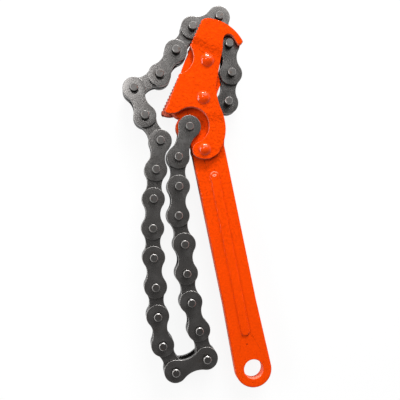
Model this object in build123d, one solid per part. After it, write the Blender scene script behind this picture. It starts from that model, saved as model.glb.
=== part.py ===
from build123d import *
import math
import os

# A chain wrench for oil filters, lying flat as it is laid down after use.
# The origin is the middle of the hanging hole, +Y runs up the handle to the
# jaws, and +Z is the face that looks at the viewer. Millimetres.

# Handle
hole_radius = 6.5
end_radius = 12.2
handle_half_width = 11.1
handle_half_thickness = 3.2
head_half_thickness = 4.2
eye_radius = 8.6
handle_edge = 0.6
grip_top = 150.0
rib_height = 0.9
rib_slope = 30.0
rib_radius = 3.1
rib_from = (-0.5, 26.0)
rib_to = (0.3, 130.5)

# Jaws
jaw_thickness = 3.0
chain_room = 5.7
upper_bend_angle = -37.0
upper_bend_at = (13.4, 212.5)
upper_ramp = 4.8
lower_bend_angle = -10.0
lower_bend_at = (13.3, 167.0)
lower_ramp = 5.6
jaw_split = 186.0
tooth_depth = 0.9
tooth_pitch = 2.4
rear_tooth_reach = 1.8
cutout_centre = (-8.4, 165.8)
cutout_radius = 11.9

# Rivets: the two through the jaws' middle, and the one through their arms
upper_rivet = (10.5, 205.6)
middle_rivet = (3.0, 182.0)
arm_rivet = (-2.9, 149.0)
rivet_shank = 2.6
rivet_head = 4.5
arm_rivet_head = 4.2
rivet_dome = 1.9

# Depths that reach past any part of the tool, for stock and for cutting
through = 12.0
beyond = 300.0

# Chain
pitch = 19.05
anchor_pitch = 21.4
bottom_pitch = 21.8
plate_head = 7.5
plate_waist = 4.7
inner_half_width = 3.2
plate_thickness = 2.0
side_gap = 0.1
pin_radius = 2.6
pin_chamfer = 0.45
pin_half_length = 8.9
anchor_pin_half_length = 7.6
pin_fit = 0.1
open_pin_fit = 0.2
bush_radius = 3.9
open_link = 7

# Where the chain lies: the anchor pin in the handle's eye, the pin caught in
# the hook, and the heading of each link in degrees from +X, seen from +Z.
# The two links that meet at the loop's bottom follow from the others.
anchor = (-9.6, 165.4)
hooked = (27.0, 213.6)
inner_run = [-122, -101, -102.5, -89.5, -97.5, -93, -86]
outer_run = [104.4, 88, 82.5, 82, 80, 77, 73.5, 69.5, 110, 100, 17.5, 44.5, 43.5, 11, -81.5]
tail = [-97, -108]
link_count = len(inner_run) + 2 + len(outer_run) + len(tail)


def along(point, heading, distance):
    # The point that lies a distance from another on a heading.
    turn = math.radians(heading)
    return (point[0] + distance * math.cos(turn), point[1] + distance * math.sin(turn))


def chain_pins():
    # The middles of all pins, from the anchor to the free end.
    down = [anchor]
    for number, heading in enumerate(inner_run):
        down.append(along(down[-1], heading, pitch if number else anchor_pitch))
    up = [hooked]
    for heading in reversed(outer_run):
        up.append(along(up[-1], heading, -pitch))
    (x0, y0), (x1, y1) = down[-1], up[-1]
    span = math.hypot(x1 - x0, y1 - y0)
    corner = math.acos((pitch**2 + span**2 - bottom_pitch**2) / (2 * pitch * span))
    to_bottom = math.degrees(math.atan2(y1 - y0, x1 - x0) + corner)
    pins = down + [along(down[-1], to_bottom, pitch)] + up[::-1]
    for heading in tail:
        pins.append(along(pins[-1], heading, pitch))
    return pins


def cylinder(middle, radius, low, high):
    return Pos(middle[0], middle[1], low) * Cylinder(
        radius, high - low, align=(Align.CENTER, Align.CENTER, Align.MIN))


def pin(middle, half_length):
    # A link pin with a bevelled rim at both ends.
    turned = cylinder(middle, pin_radius, -half_length, half_length)
    return chamfer(turned.edges().filter_by(GeomType.CIRCLE), pin_chamfer)


def plate_outline(length):
    # Two round heads with a waist between them: each side of the waist is
    # an arc that meets both heads smoothly.
    half = length / 2
    waist_radius = (half**2 + plate_waist**2 - plate_head**2) / 2 / (plate_head - plate_waist)
    reach = plate_head / (plate_head + waist_radius)
    touch_x = half * reach
    touch_y = (plate_waist + waist_radius) * reach
    with BuildSketch() as outline:
        with BuildLine():
            ThreePointArc((touch_x, touch_y), (-plate_head, 0), (touch_x, -touch_y))
            ThreePointArc((touch_x, -touch_y), (half, -plate_waist), (length - touch_x, -touch_y))
            ThreePointArc((length - touch_x, -touch_y), (length + plate_head, 0), (length - touch_x, touch_y))
            ThreePointArc((length - touch_x, touch_y), (half, plate_waist), (touch_x, touch_y))
        make_face()
    return outline.sketch


def placed(shape, start, end):
    heading = math.degrees(math.atan2(end[1] - start[1], end[0] - start[0]))
    return Pos(start[0], start[1], 0) * Rot(0, 0, heading) * shape


def plate_pair(length, holes, inside):
    # A front and a back plate, as far from the middle as inside says, with
    # one hole radius for each end.
    outline = plate_outline(length)
    for x, radius in zip((0, length), holes):
        outline -= Pos(x, 0) * Circle(radius)
    front = Pos(0, 0, inside) * extrude(outline, plate_thickness)
    return [front, mirror(front, Plane.XY)]


def outer_link(number, start, end):
    # The wide link: its plates ride outside the narrow links, on two pins
    # that stand out on both faces so that the hook can catch them.
    length = math.dist(start, end)
    inside = inner_half_width + side_gap
    plates = plate_pair(length, (pin_radius, pin_radius), inside)
    first_half_length = anchor_pin_half_length if number == 0 else pin_half_length
    axles = [
        pin((0, 0), first_half_length),
        pin((length, 0), pin_half_length),
    ]
    return ([placed(plate, start, end) for plate in plates],
            [placed(axle, start, end) for axle in axles])


def inner_link(number, start, end):
    # The narrow link: two plates on two bushes that turn on the pins.
    length = math.dist(start, end)
    plates = plate_pair(length, (bush_radius, bush_radius), inner_half_width - plate_thickness)
    bushes = []
    far_fit = {open_link: open_pin_fit, link_count - 1: 0}.get(number, pin_fit)
    for x, fit in ((0, pin_fit), (length, far_fit)):
        bush = cylinder((x, 0), bush_radius, -inner_half_width, inner_half_width)
        bore = cylinder((x, 0), pin_radius + fit, -inner_half_width, inner_half_width)
        bushes.append(bush - bore)
    return ([placed(plate, start, end) for plate in plates],
            [placed(bush, start, end) for bush in bushes])


def serrated(start, end):
    # A toothed edge: the points of a zigzag from start to end, whose teeth
    # stand out to the left of that way.
    length = math.dist(start, end)
    heading = math.degrees(math.atan2(end[1] - start[1], end[0] - start[0]))
    steps = 2 * round(length / tooth_pitch)
    points = []
    for step in range(1, steps):
        out = tooth_depth / 2 if step % 2 else -tooth_depth / 2
        points.append(along(along(start, heading, length * step / steps), heading + 90, out))
    return [start] + points + [end]


def jaw_outline(tooth_reach):
    # One jaw plate from the front: upper teeth, crown and hook, slot, back,
    # the arm that curls round the anchor, its cut-out, lower teeth and notch.
    # The lower end of the teeth stands out by tooth_reach.
    notch_top = (1.3, 216.5)
    notch_low = (-9.2, 200.0)
    crown_left = (12.0, 231.0)
    crown_right = (17.6, 231.3)
    nose_out = (35.6, 213.6)
    nose_in = (31.9, 212.1)
    slot_right = (30.6, 215.5)
    slot_left = (23.2, 216.4)
    back_top = (21.2, 209.4)
    waist_top = (12.4, 187.5)
    waist_low = (13.4, 169.8)
    arm_right = (8.0, 147.7)
    arm_left = (-8.1, 144.4)
    arm_end = along(cutout_centre, -81, cutout_radius)
    lip = along(cutout_centre, 109, cutout_radius)
    chin = along((-21.8, 176.2), 147, tooth_reach)
    tip = along((-23.2, 178.5), 147, tooth_reach)
    under_tip = along((-23.1, 176.9), 147, tooth_reach)
    with BuildSketch() as outline:
        with BuildLine():
            Polyline(*serrated(notch_top, crown_left))
            ThreePointArc(crown_left, (14.8, 231.9), crown_right)
            ThreePointArc(crown_right, (28.4, 224.9), nose_out)
            ThreePointArc(nose_out, (34.4, 211.4), nose_in)
            Line(nose_in, slot_right)
            ThreePointArc(slot_right, (27.2, 219.2), slot_left)
            Line(slot_left, back_top)
            Line(back_top, waist_top)
            ThreePointArc(waist_top, (12.1, 178.5), waist_low)
            ThreePointArc(waist_low, (13.3, 158.5), arm_right)
            ThreePointArc(arm_right, (-0.6, 142.4), arm_left)
            ThreePointArc(arm_left, (-10.7, 150.4), arm_end)
            ThreePointArc(arm_end, along(cutout_centre, 14, cutout_radius), lip)
            ThreePointArc(lip, (-17.0, 175.6), chin)
            ThreePointArc(chin, under_tip, tip)
            Polyline(*serrated(tip, notch_low)[::-1])
            ThreePointArc(notch_low, (1.3, 206.8), notch_top)
        make_face()
    return outline.sketch


def joggled_slab(angle, at, ramp, low, high):
    # Endless flat stock with one joggle: its inner face steps out from low
    # to high across a ramp that runs on the given angle.
    across = (-math.sin(math.radians(angle)), math.cos(math.radians(angle)))
    plane = Plane(origin=(at[0], at[1], 0), x_dir=(across[0], across[1], 0),
                  z_dir=(across[1], -across[0], 0))
    inner = [(-beyond, low), (-ramp / 2, low), (ramp / 2, high), (beyond, high)]
    outer = [(x, z + jaw_thickness) for x, z in reversed(inner)]
    return extrude(plane * make_face(Polyline(*inner, *outer, close=True)), beyond, both=True)


def jaw_plate(tooth_reach):
    # A jaw in front of the handle: arms close on it, middle out on its
    # thicker head, and top out again so that the chain passes between.
    above = Pos(0, jaw_split + beyond / 2, 0) * Box(beyond, beyond, beyond)
    below = Pos(0, jaw_split - beyond / 2, 0) * Box(beyond, beyond, beyond)
    upper = joggled_slab(upper_bend_angle, upper_bend_at, upper_ramp, head_half_thickness, chain_room)
    lower = joggled_slab(lower_bend_angle, lower_bend_at, lower_ramp,
                         handle_half_thickness, head_half_thickness)
    blank = extrude(jaw_outline(tooth_reach), through)
    plate = (blank & above & upper) + (blank & below & lower)
    for middle in (upper_rivet, middle_rivet, arm_rivet):
        plate -= cylinder(middle, rivet_shank, 0, through)
    return plate


def handle_outline():
    # The forged handle with its round end, its eye for the anchor pin and
    # the head that fills the gap between the jaws.
    side = handle_half_width
    taper_top = 45
    neck = (10.8, 172)
    throat = (10.4, 177)
    shoulder = (16.5, 188.6)
    flank = (16.4, 197)
    nose = (17.6, 203.2)
    brow = (2.4, 215.4)
    notch_top = (0.6, 214.2)
    notch_low = (-8.6, 199.6)
    chin = (-18.4, 181.6)
    eye_high = along(anchor, 125, eye_radius)
    eye_low = along(anchor, 215, eye_radius)
    collar = (-side, 153)
    with BuildSketch() as outline:
        with BuildLine():
            ThreePointArc((-end_radius, 0), (0, -end_radius), (end_radius, 0))
            Line((end_radius, 0), (side, taper_top))
            Line((side, taper_top), (side, grip_top))
            ThreePointArc((side, grip_top), (12.6, 161), neck)
            Line(neck, throat)
            ThreePointArc(throat, (12.9, 183.2), shoulder)
            Polyline(shoulder, flank, nose, brow, notch_top)
            ThreePointArc(notch_top, (-4.6, 206.9), notch_low)
            Line(notch_low, chin)
            ThreePointArc(chin, (-18.2, 176.0), eye_high)
            ThreePointArc(eye_high, along(anchor, 170, eye_radius), eye_low)
            ThreePointArc(eye_low, (-12.6, 157.2), collar)
            Line(collar, (-side, taper_top))
            Line((-side, taper_top), (-end_radius, 0))
        make_face()
    return outline.sketch


def handle_forging():
    # Flat handle with softened edges, a thicker pad between the jaws, a
    # raised rib on both faces, and the holes for pin, rivets and hanging.
    outline = handle_outline()
    body = extrude(outline, handle_half_thickness, both=True)
    rims = body.edges().group_by(Axis.Z)[0] + body.edges().group_by(Axis.Z)[-1]
    body = chamfer(rims.filter_by(lambda edge: edge.center().Y < grip_top), handle_edge)
    pad_edge = Pos(lower_bend_at[0], lower_bend_at[1]) * Rot(0, 0, lower_bend_angle)
    past_bend = pad_edge * Pos(0, (lower_ramp + beyond) / 2) * Rectangle(beyond, beyond)
    pad = extrude((outline & past_bend) - Pos(*cutout_centre) * Circle(cutout_radius),
                  head_half_thickness, both=True)
    body += pad
    middle = ((rib_from[0] + rib_to[0]) / 2, (rib_from[1] + rib_to[1]) / 2)
    heading = math.degrees(math.atan2(rib_to[1] - rib_from[1], rib_to[0] - rib_from[0]))
    rib = Rot(0, 0, heading) * SlotOverall(math.dist(rib_from, rib_to) + 2 * rib_radius, 2 * rib_radius)
    rib = Pos(middle[0], middle[1], handle_half_thickness) * extrude(rib, rib_height, taper=rib_slope)
    body += rib
    body += mirror(rib, Plane.XY)
    body -= cylinder((0, 0), hole_radius, -through, through)
    body -= cylinder(anchor, pin_radius + pin_fit, -through, through)
    for middle in (upper_rivet, middle_rivet, arm_rivet):
        body -= cylinder(middle, rivet_shank, -through, through)
    return body


def rivet(middle, seat, head):
    # A rivet through both jaws and the handle, domed on both faces.
    ball = (head**2 + rivet_dome**2) / 2 / rivet_dome
    crown = seat + rivet_dome
    shoulder = math.asin(head / ball) / 2
    profile = make_face([
        Line((0, 0), (rivet_shank, 0)),
        Line((rivet_shank, 0), (rivet_shank, seat)),
        Line((rivet_shank, seat), (head, seat)),
        ThreePointArc((head, seat), (ball * math.sin(shoulder), crown - ball + ball * math.cos(shoulder)),
                      (0, crown)),
        Line((0, crown), (0, 0)),
    ])
    half = revolve(Plane.XZ * profile, Axis.Z)
    return Pos(middle[0], middle[1], 0) * (half + mirror(half, Plane.XY))


def write(name, solids):
    shape = solids[0] if len(solids) == 1 else Compound(children=list(solids))
    export_step(shape, f"parts/{name}.step")


os.makedirs("parts", exist_ok=True)
write("handle", [handle_forging()])
write("front_jaw", [jaw_plate(0)])
write("rear_jaw", [mirror(jaw_plate(rear_tooth_reach), Plane.XY)])
middle_seat = head_half_thickness + jaw_thickness
write("upper_rivet", [rivet(upper_rivet, middle_seat, rivet_head)])
write("middle_rivet", [rivet(middle_rivet, middle_seat, rivet_head)])
write("arm_rivet", [rivet(arm_rivet, handle_half_thickness + jaw_thickness, arm_rivet_head)])
pins = chain_pins()
for number in range(link_count):
    link = f"{number + 1:02d}"
    if number % 2 == 0:
        plates, axles = outer_link(number, pins[number], pins[number + 1])
        write(f"outer_plates_{link}", plates)
        write(f"pins_{link}", axles)
    else:
        plates, bushes = inner_link(number, pins[number], pins[number + 1])
        write(f"inner_plates_{link}", plates)
        write(f"bushes_{link}", bushes)
write("end_pin", [pin(pins[-1], pin_half_length)])
for number, (x, y) in enumerate(pins):
    print("pin", number, round(x, 4), round(y, 4))
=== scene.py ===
import bmesh
import bpy
import math
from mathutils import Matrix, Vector


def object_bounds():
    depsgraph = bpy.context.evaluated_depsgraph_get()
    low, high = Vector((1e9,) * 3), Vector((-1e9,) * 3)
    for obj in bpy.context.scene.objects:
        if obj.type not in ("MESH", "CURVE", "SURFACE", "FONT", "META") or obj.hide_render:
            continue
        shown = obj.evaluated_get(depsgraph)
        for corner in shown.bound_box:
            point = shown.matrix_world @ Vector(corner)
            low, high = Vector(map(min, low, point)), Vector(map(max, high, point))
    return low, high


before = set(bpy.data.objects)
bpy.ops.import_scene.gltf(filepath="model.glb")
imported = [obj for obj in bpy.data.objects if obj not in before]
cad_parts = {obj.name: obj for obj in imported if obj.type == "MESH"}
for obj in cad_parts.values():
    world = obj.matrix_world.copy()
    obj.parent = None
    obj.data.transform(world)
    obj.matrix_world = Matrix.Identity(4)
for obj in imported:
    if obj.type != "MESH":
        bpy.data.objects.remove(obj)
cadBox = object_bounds()
scene = bpy.context.scene
scene.view_settings.view_transform = "Standard"
mm = 0.001


# A socket of a node. Sums, products and powers of sockets and numbers add
# their own Math nodes.
class Wire:
    def __init__(self, nodes, socket):
        self.nodes = nodes
        self.socket = socket

    def maths(self, operation, *terms):
        return self.nodes.add("ShaderNodeMath", {"operation": operation}, dict(enumerate(terms)))

    def __add__(self, other):
        return self.maths("ADD", self, other)

    def __radd__(self, other):
        return self.maths("ADD", other, self)

    def __sub__(self, other):
        return self.maths("SUBTRACT", self, other)

    def __rsub__(self, other):
        return self.maths("SUBTRACT", other, self)

    def __mul__(self, other):
        return self.maths("MULTIPLY", self, other)

    def __rmul__(self, other):
        return self.maths("MULTIPLY", other, self)

    def __pow__(self, power):
        return self.maths("POWER", self, power)

    def sign(self):
        return self.maths("SIGN", self)

    def orElse(self, other):   # the larger of the two
        return self.maths("MAXIMUM", self, other)

    def rising(self, low, high):   # 0 below low, 1 above high, smooth between
        settings = {"interpolation_type": "SMOOTHSTEP"}
        return self.nodes.add("ShaderNodeMapRange", settings, {0: self, 1: low, 2: high})


# The nodes of a material or of the sky.
class Nodes:
    def __init__(self, tree):
        self.tree = tree

    def add(self, kind, settings, sockets, give=0):
        node = self.tree.nodes.new(kind)
        for name, value in settings.items():
            setattr(node, name, value)
        for name, value in sockets.items():
            self.plug(node.inputs[name], value)
        return Wire(self, node.outputs[give])

    def plug(self, socket, value):
        if isinstance(value, Wire):
            self.tree.links.new(value.socket, socket)
        else:
            socket.default_value = value

    def part(self, vector, letter):   # the X, Y or Z of a vector
        return self.add("ShaderNodeSeparateXYZ", {}, {0: vector}, letter)


# One material.
class Finish(Nodes):
    def __init__(self, name):
        self.material = bpy.data.materials.new(name)
        self.material.use_nodes = True
        super().__init__(self.material.node_tree)
        self.shader = self.tree.nodes["Principled BSDF"]
        self.output = self.tree.nodes["Material Output"]
        self.place = self.add("ShaderNodeTexCoord", {}, {}, "Object")

    def wear(self, sockets):   # values or wires for the main shader
        for name, value in sockets.items():
            self.plug(self.shader.inputs[name], value)

    def noise(self, size, detail, roughness):   # size is that of its grains, in metres
        sockets = {"Vector": self.place, "Scale": 1 / size, "Detail": detail, "Roughness": roughness}
        return self.add("ShaderNodeTexNoise", {}, sockets, "Fac")

    def cells(self, size, give):
        return self.add("ShaderNodeTexVoronoi", {}, {"Vector": self.place, "Scale": 1 / size}, give)

    def mix(self, share, one, other, how="MIX"):
        settings = {"data_type": "RGBA", "blend_type": how}
        return self.add("ShaderNodeMix", settings, {0: share, 6: one, 7: other}, 2)

    def shade(self, colour, level):   # a colour made lighter or darker by a number
        grey = self.add("ShaderNodeCombineColor", {}, {0: level, 1: level, 2: level})
        return self.mix(1.0, colour, grey, "MULTIPLY")

    def bump(self, height, depth):
        sockets = {"Height": height, "Distance": depth, "Strength": 1.0}
        return self.add("ShaderNodeBump", {}, sockets)

    def outward(self):   # 1 on the tool's flat outer faces, 0 on its walls, -1 on faces turned inwards
        normal = self.add("ShaderNodeTexCoord", {}, {}, "Normal")
        return self.part(normal, "Z") * self.part(self.place, "Z").sign()

    def upAlong(self, spot):   # how far a point lies beyond a spot along the tool
        return self.part(self.place, "Y") - spot[1]

    def reach(self, spot, squeeze=1.0):   # how far a point lies from a spot, seen from above
        across = self.part(self.place, "X") - spot[0]
        along = self.upAlong(spot) * squeeze
        return (across * across + along * along) ** 0.5


orangePaint = {
    "colour": (0.78, 0.0545, 0.0005, 1),
    "shadowColour": (0.50, 0.022, 0.001, 1),
    # walls and inner faces get this colour in place of the orange: painted shade and painted floor
    # reflection
    "wallColour": (0.80, 0.17, 0.10, 1),
    "dustColour": (1.00, 0.60, 0.48, 1),
    # the pale colour of rubbed rims, which also paints their highlights
    "rubbedAndHighlightColour": (0.95, 0.45, 0.30, 1),
    "pitColour": (0.16, 0.02, 0.005, 1),
    "roughness": 0.36,
    "orangePeel": 1.6 * mm,      # the size of the paint's ripples
    "unevenness": 10 * mm,       # the size of the casting's waves below the paint
    "grainContrast": 0.30,
    "cloudContrast": 0.20,
    "rippleDepth": 0.2 * mm,
    "smoothBelow": 40 * mm,      # the handle is smoother below this, and
    "roughAbove": 130 * mm,      # the forging is roughest above this
    "smoothShare": 0.3,
    "creaseShadeReach": 2.2 * mm,     # how far the painted shade reaches out of a crease
    "dustSize": 1.2 * mm,
    "pitSpacing": 7.5 * mm,
}

# Painted highlights on rims, drawn as pale paint: how far from a spot they reach, and how much.
notchHighlightSpot = {"spot": (-1.0 * mm, 207.0 * mm), "full": 9.0 * mm, "gone": 12.0 * mm, "share": 0.9}
ribEndHighlightSpot = {
    "spot": (0.3 * mm, 131.0 * mm),
    "full": 3.4 * mm,
    "gone": 4.2 * mm,
    "share": 0.45,
    "above": (0.6 * mm, 1.6 * mm),    # the painted highlight arc shows only on the rib end's far side
    "patch": (1.0 * mm, 1.7 * mm),    # the painted highlight patch on the rib's top
    "patchSqueeze": 1.6,
    "patchShare": 0.8,
}


# painted highlight along the rim of the jaws' notch
def notchHighlight(finish, outer):
    near = 1 - finish.reach(notchHighlightSpot["spot"]).rising(notchHighlightSpot["full"], notchHighlightSpot["gone"])
    rim = outer.rising(0.2, 0.4) * (1 - outer.rising(0.70, 0.85))
    return near * rim * notchHighlightSpot["share"]


# painted highlight: an arc and a pale patch at the end of the handle's rib
def ribEndHighlight(finish, outer):
    spot = ribEndHighlightSpot["spot"]
    near = 1 - finish.reach(spot).rising(ribEndHighlightSpot["full"], ribEndHighlightSpot["gone"])
    slope = outer.rising(0.2, 0.4) * (1 - outer.rising(0.88, 0.97))
    arc = near * slope * finish.upAlong(spot).rising(*ribEndHighlightSpot["above"]) * ribEndHighlightSpot["share"]
    patch = 1 - finish.reach(spot, ribEndHighlightSpot["patchSqueeze"]).rising(*ribEndHighlightSpot["patch"])
    return arc + patch * ribEndHighlightSpot["patchShare"]


# The second argument is how far the paint is made pale at all rims, partly rubbed paint and partly a
# painted highlight along them, and the last one adds the painted highlight of one place.
def makeOrangePaint(name, rimRubAndHighlight, gloss, ripple, sheen, spotHighlight=None):
    finish = Finish(name)
    look = orangePaint
    grain = finish.noise(look["orangePeel"], 3.0, 0.6).rising(0.28, 0.72)
    cloud = finish.noise(look["unevenness"], 3.0, 0.55)
    outer = finish.outward()
    # rims are made pale: partly rubbed paint, partly a painted highlight
    rim = outer.rising(0.2, 0.4) * (1 - outer.rising(0.70, 0.85))
    rubbedAndHighlit = rim * rimRubAndHighlight
    if spotHighlight:
        rubbedAndHighlit = rubbedAndHighlit + spotHighlight(finish, outer)
    # the forging is rougher towards the jaws, and painted shade darkens its creases
    along = finish.part(finish.place, "Y").rising(look["smoothBelow"], look["roughAbove"])
    coarse = (look["smoothShare"] + along * (1 - look["smoothShare"])) * ripple
    sockets = {"Distance": look["creaseShadeReach"]}
    creaseShade = finish.add("ShaderNodeAmbientOcclusion", {"samples": 8}, sockets, "AO")
    level = 1.0 + (grain - 0.5) * coarse * look["grainContrast"] + (cloud - 0.5) * look["cloudContrast"]
    # painted shade: the colour is darker in creases and where the jaws, arms and rivet domes stand
    # close
    level = level * (0.55 + creaseShade * 0.45)
    colour = finish.mix(cloud.rising(0.62, 0.78) * 0.25, look["colour"], look["shadowColour"])
    colour = finish.shade(colour, level)
    # pale paint at the rims and spots: rubbed paint together with painted highlights
    colour = finish.mix(rubbedAndHighlit * grain.rising(0.15, 0.5), colour, look["rubbedAndHighlightColour"])
    # walls and inner faces: a brownish-pink colour that paints the shade and the floor's reflection
    # these faces show, with dust specks on it, and painted shade darkens it further in creases
    dust = finish.noise(look["dustSize"], 4.0, 0.75)
    wall = finish.mix(dust.rising(0.55, 0.68) * 0.8, look["wallColour"], look["dustColour"])
    wall = finish.shade(wall, 0.15 + creaseShade * 0.85)
    colour = finish.mix(outer.rising(0.1, 0.45), wall, colour)
    # a few dark pits where the casting shows through
    distance = finish.cells(look["pitSpacing"], "Distance")
    chance = finish.add("ShaderNodeSeparateColor", {}, {0: finish.cells(look["pitSpacing"], "Color")})
    pit = (1 - distance.rising(0.035, 0.075)) * chance.rising(0.72, 0.78)
    colour = finish.mix(pit * 0.75, colour, look["pitColour"])
    finish.wear({
        "Base Color": colour,
        "Roughness": look["roughness"] + (grain - 0.5) * 0.2 + pit * 0.2,
        "Specular IOR Level": 0.0,
        "Coat Weight": outer.rising(0.3, 0.7) * (gloss + rubbedAndHighlit * 0.5),
        "Coat Roughness": sheen,
        "Normal": finish.bump((grain * 0.9 + cloud * 1.6) * coarse - pit * 1.5, look["rippleDepth"]),
    })
    return finish.material


chainSteel = {
    "colour": (0.175, 0.166, 0.160, 1),
    "lightColour": (0.215, 0.207, 0.201, 1),
    "rustColour": (0.120, 0.075, 0.050, 1),
    "wornColour": (0.28, 0.27, 0.26, 1),
    "wallShade": 0.35,
    "metallic": 0.85,
    "roughness": 0.27,
    "grain": 1.1 * mm,
    "blotch": 7 * mm,
    "rustPatch": 11 * mm,
    "depth": 0.022 * mm,
}


def makeChainSteel():
    finish = Finish("chainSteel")
    look = chainSteel
    grain = finish.noise(look["grain"], 3.0, 0.65)
    blotch = finish.noise(look["blotch"], 4.0, 0.6)
    rust = finish.noise(look["rustPatch"], 3.0, 0.6)
    colour = finish.mix(blotch.rising(0.42, 0.72), look["colour"], look["lightColour"])
    colour = finish.mix(rust.rising(0.60, 0.75) * 0.35, colour, look["rustColour"])
    outer = finish.outward()
    rim = outer.rising(0.25, 0.45) * (1 - outer.rising(0.88, 0.98))
    colour = finish.mix(rim, colour, look["wornColour"])
    shade = look["wallShade"] + outer.rising(0.05, 0.5) * (1 - look["wallShade"])
    colour = finish.shade(colour, (0.91 + grain * 0.18) * shade)
    finish.wear({
        "Base Color": colour,
        "Metallic": look["metallic"],
        "Roughness": look["roughness"] + (blotch - 0.5) * 0.10 + (grain - 0.5) * 0.06 + rim * 0.15,
        "Normal": finish.bump(grain * 0.5 + blotch * 1.3, look["depth"]),
    })
    return finish.material


pinSteel = {
    "colour": (0.130, 0.124, 0.120, 1),
    "rustColour": (0.150, 0.085, 0.060, 1),
    "wornColour": (0.30, 0.29, 0.28, 1),
    # painted shade on the pins' side walls
    "wallColour": (0.045, 0.043, 0.041, 1),
    "metallic": 0.9,
    "roughness": 0.40,
    "grain": 0.7 * mm,
    "blotch": 2.6 * mm,
    "depth": 0.05 * mm,
}


def makePinSteel():
    finish = Finish("pinSteel")
    look = pinSteel
    grain = finish.noise(look["grain"], 3.0, 0.65)
    blotch = finish.noise(look["blotch"], 3.0, 0.6)
    outer = finish.outward()
    rim = outer.rising(0.3, 0.5) * (1 - outer.rising(0.88, 0.98))
    colour = finish.mix(blotch.rising(0.52, 0.70) * 0.45, look["colour"], look["rustColour"])
    # painted shade: the pins' walls get the near-black wall colour
    colour = finish.mix(outer.rising(0.1, 0.4), look["wallColour"], colour)
    colour = finish.mix(rim, colour, look["wornColour"])
    colour = finish.shade(colour, 0.80 + grain * 0.40)
    finish.wear({
        "Base Color": colour,
        "Metallic": look["metallic"],
        "Roughness": look["roughness"] + (grain - 0.5) * 0.25,
        "Normal": finish.bump(grain * 0.6 + blotch, look["depth"]),
    })
    return finish.material


# The rims of plates, jaws and handle are rounded here: the model's own faces
# meet sharply, so they are joined and bevelled by modifiers.
edges = {
    "jaw": 0.30 * mm,
    "handle": 0.30 * mm,
    "plate": 0.30 * mm,
    "steps": 2,
    "sharpest": 35,         # degrees between two faces that get a bevel
    "weld": 0.001 * mm,
}


def roundEdges(node, width):
    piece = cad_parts[node]
    joined = piece.modifiers.new("joined", "WELD")
    joined.merge_threshold = edges["weld"]
    rounded = piece.modifiers.new("rounded", "BEVEL")
    rounded.width = width
    rounded.segments = edges["steps"]
    rounded.limit_method = "ANGLE"
    rounded.angle_limit = math.radians(edges["sharpest"])
    rounded.use_clamp_overlap = False
    flattened = piece.modifiers.new("flattened", "WEIGHTED_NORMAL")
    flattened.weight = 100


def dress():
    steel = makeChainSteel()
    pins = makePinSteel()
    paint = makeOrangePaint("orangePaint", 0.0, 0.3, 0.85, 0.12, ribEndHighlight)
    jawPaint = makeOrangePaint("jawPaint", 0.12, 0.3, 1.0, 0.12, notchHighlight)
    rivetPaint = makeOrangePaint("rivetPaint", 0.0, 0.7, 0.15, 0.08)
    for name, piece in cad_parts.items():
        if name.startswith(("outer_plates", "inner_plates")):
            piece.material_slots[0].material = steel
            roundEdges(name, edges["plate"])
        elif name.startswith("bushes"):
            piece.material_slots[0].material = steel
        elif name.startswith("pins") or name == "end_pin":
            piece.material_slots[0].material = pins
        elif name.endswith("rivet"):
            piece.material_slots[0].material = rivetPaint
        elif name.endswith("jaw"):
            piece.material_slots[0].material = jawPaint
            roundEdges(name, edges["jaw"])
        else:
            piece.material_slots[0].material = paint
            roundEdges(name, edges["handle"])


dress()
print("finishes on")

studio = {
    "floorSize": 3.0,
    "floorColour": (0.92, 0.92, 0.92, 1),
    "floorGlow": 0.90,   # how much of the floor is plain white to the camera and to gloss
    "horizon": 0.9,
    "zenith": 0.10,
    "zenithFrom": 0.65,  # the sky has its top level above this height on the unit sphere
    "middle": Vector((-0.010, 0.110, 0.0)),   # what the lamps look at
}


def makeFloor():
    mesh = bpy.data.meshes.new("floor")
    shape = bmesh.new()
    bmesh.ops.create_grid(shape, x_segments=1, y_segments=1, size=studio["floorSize"])
    shape.to_mesh(mesh)
    shape.free()
    floor = bpy.data.objects.new("floor", mesh)
    floor.location = (0, 0, cadBox[0].z)
    scene.collection.objects.link(floor)
    finish = Finish("floorPaper")
    finish.wear({"Base Color": studio["floorColour"], "Roughness": 0.9, "Specular IOR Level": 0.1})
    glow = finish.add("ShaderNodeEmission", {}, {"Color": (1, 1, 1, 1), "Strength": 1.0})
    seen = finish.add("ShaderNodeLightPath", {}, {}, "Is Camera Ray")
    for ray in ("Is Glossy Ray", "Is Transmission Ray"):
        seen = seen.orElse(finish.add("ShaderNodeLightPath", {}, {}, ray))
    matt = Wire(finish, finish.shader.outputs[0])
    both = finish.add("ShaderNodeMixShader", {}, {0: seen * studio["floorGlow"], 1: matt, 2: glow})
    finish.plug(finish.output.inputs["Surface"], both)
    mesh.materials.append(finish.material)


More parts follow.
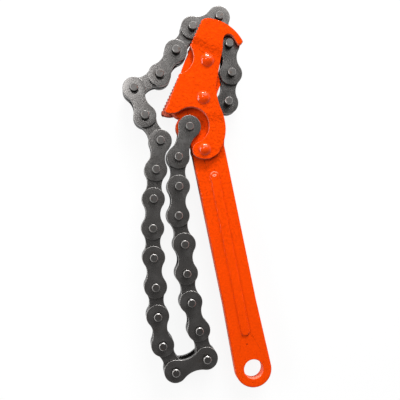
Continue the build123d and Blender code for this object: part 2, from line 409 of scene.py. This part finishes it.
def makeSky():   # bright at the horizon, dark overhead, so that flat steel stays dark
    world = bpy.data.worlds.new("sky")
    scene.world = world
    world.use_nodes = True
    sky = Nodes(world.node_tree)
    way = sky.add("ShaderNodeTexCoord", {}, {}, "Generated")
    up = sky.part(way, "Z").rising(0.0, studio["zenithFrom"])
    level = studio["horizon"] + up * (studio["zenith"] - studio["horizon"])
    ground = world.node_tree.nodes["Background"]
    sky.plug(ground.inputs["Strength"], level)
    sky.plug(ground.inputs["Color"], (1, 1, 1, 1))


def makeLamp(name, toward, distance, width, height, power):
    data = bpy.data.lights.new(name, "AREA")
    data.shape = "RECTANGLE"
    data.size = width
    data.size_y = height
    data.energy = power
    lamp = bpy.data.objects.new(name, data)
    way = Vector(toward).normalized()
    lamp.location = studio["middle"] + way * distance
    lamp.rotation_mode = "QUATERNION"
    lamp.rotation_quaternion = way.to_track_quat("Z", "Y")
    scene.collection.objects.link(lamp)


makeFloor()
makeSky()
makeLamp("keyLight", (0.38, 0.72, 0.62), 1.20, 1.20, 0.70, 10.5)
makeLamp("glintLight", (0.31, 0.87, 0.34), 1.10, 0.60, 0.14, 13.0)   # the spots on the rivets
makeLamp("rimLight", (-0.85, 0.30, 0.50), 1.00, 0.90, 0.25, 6.0)     # the walls at the left
makeLamp("ceilingLight", (-0.08, 0.44, 1.00), 1.20, 0.22, 0.22, 1.7)
print("floor and lights made")

# The camera stands over the tool's left side and looks down, turned a little
# to the right. Its shift brings the tool to the place it has in the picture.
camera = {
    "place": (-0.0616, 0.1152, 0.2950),
    "turn": (0.56, -4.72, -11.76),   # degrees about X, Y and Z
    "lens": 40.34,
    "shift": (0.090, 0.034),
    "clip": (0.01, 20.0),
}


def makeCamera():
    data = bpy.data.cameras.new("camera")
    data.lens = camera["lens"]
    data.shift_x, data.shift_y = camera["shift"]
    data.clip_start, data.clip_end = camera["clip"]
    eye = bpy.data.objects.new("camera", data)
    eye.location = camera["place"]
    eye.rotation_euler = [math.radians(angle) for angle in camera["turn"]]
    scene.collection.objects.link(eye)
    scene.camera = eye


makeCamera()
print("camera made")
